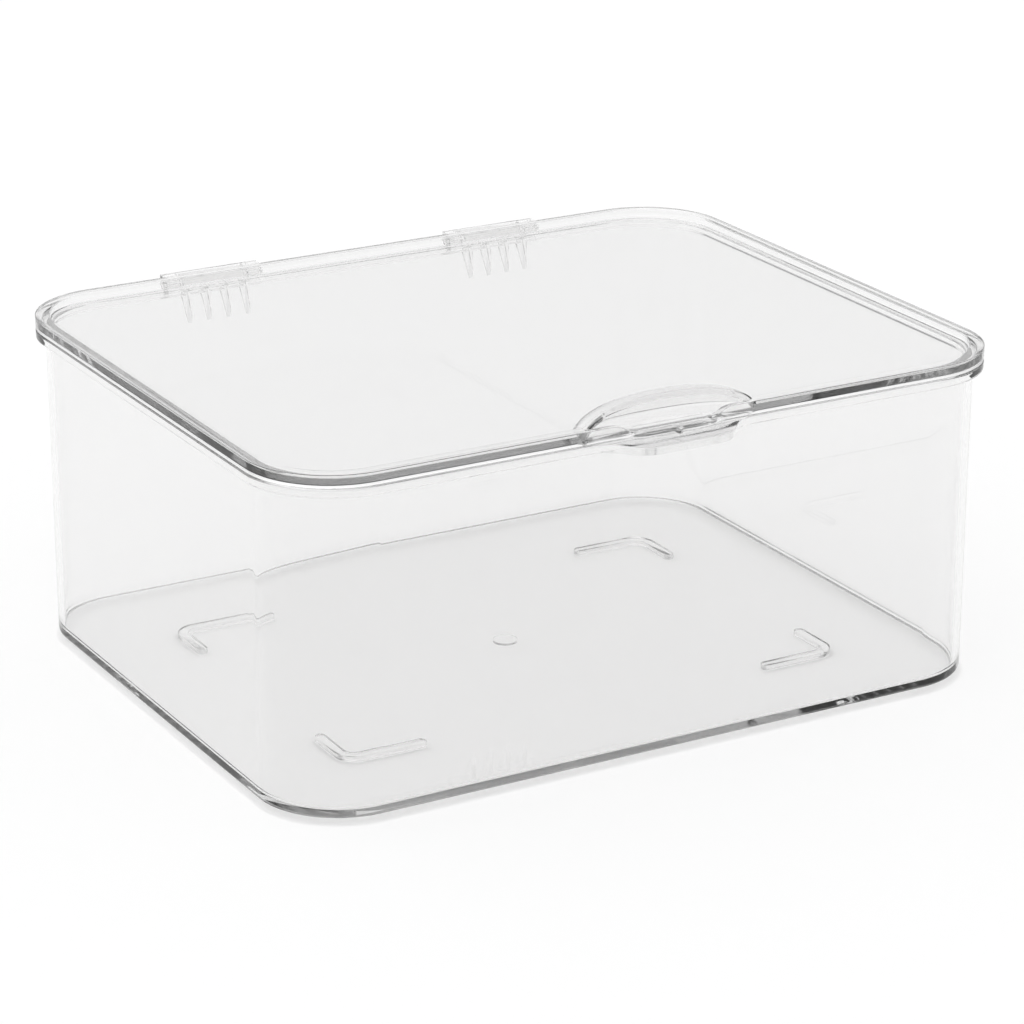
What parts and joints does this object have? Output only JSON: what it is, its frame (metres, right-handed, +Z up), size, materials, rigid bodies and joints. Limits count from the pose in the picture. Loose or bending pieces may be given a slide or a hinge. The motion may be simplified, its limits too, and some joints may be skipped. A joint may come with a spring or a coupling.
{
  "type": "storage box",
  "caption": "Clear plastic storage box with rounded corners: a deep rimmed tub with a finger ledge and ribbed feet, and a hinged lid with a raised edge and a thumb hood.",
  "frame": {"origin": "middle of the footprint, finger ledge and hinges included, on the surface that the feet stand on", "axes": "+X along the hinge line to the right seen from the front, +Y to the back, where the hinges are, +Z up; the finger ledge faces -Y"},
  "size_m": [0.176, 0.1528, 0.0809],
  "materials": {
    "tub": "clear moulded plastic, polished",
    "lid": "clear moulded plastic, polished",
    "hinge_pins": "clear moulded plastic, polished"
  },
  "bodies": {
    "tub": {"tub": "tub", "left_hinge_pin": "hinge_pins", "right_hinge_pin": "hinge_pins"},
    "lid": {"lid": "lid"}
  },
  "joints": [
    {"name": "lid_hinge", "type": "hinge", "parent": "tub", "child": "lid", "pos_m": [0, 0.0746, 0.073], "axis": [-1, 0, 0], "range_deg": [0, 110]}
  ]
}
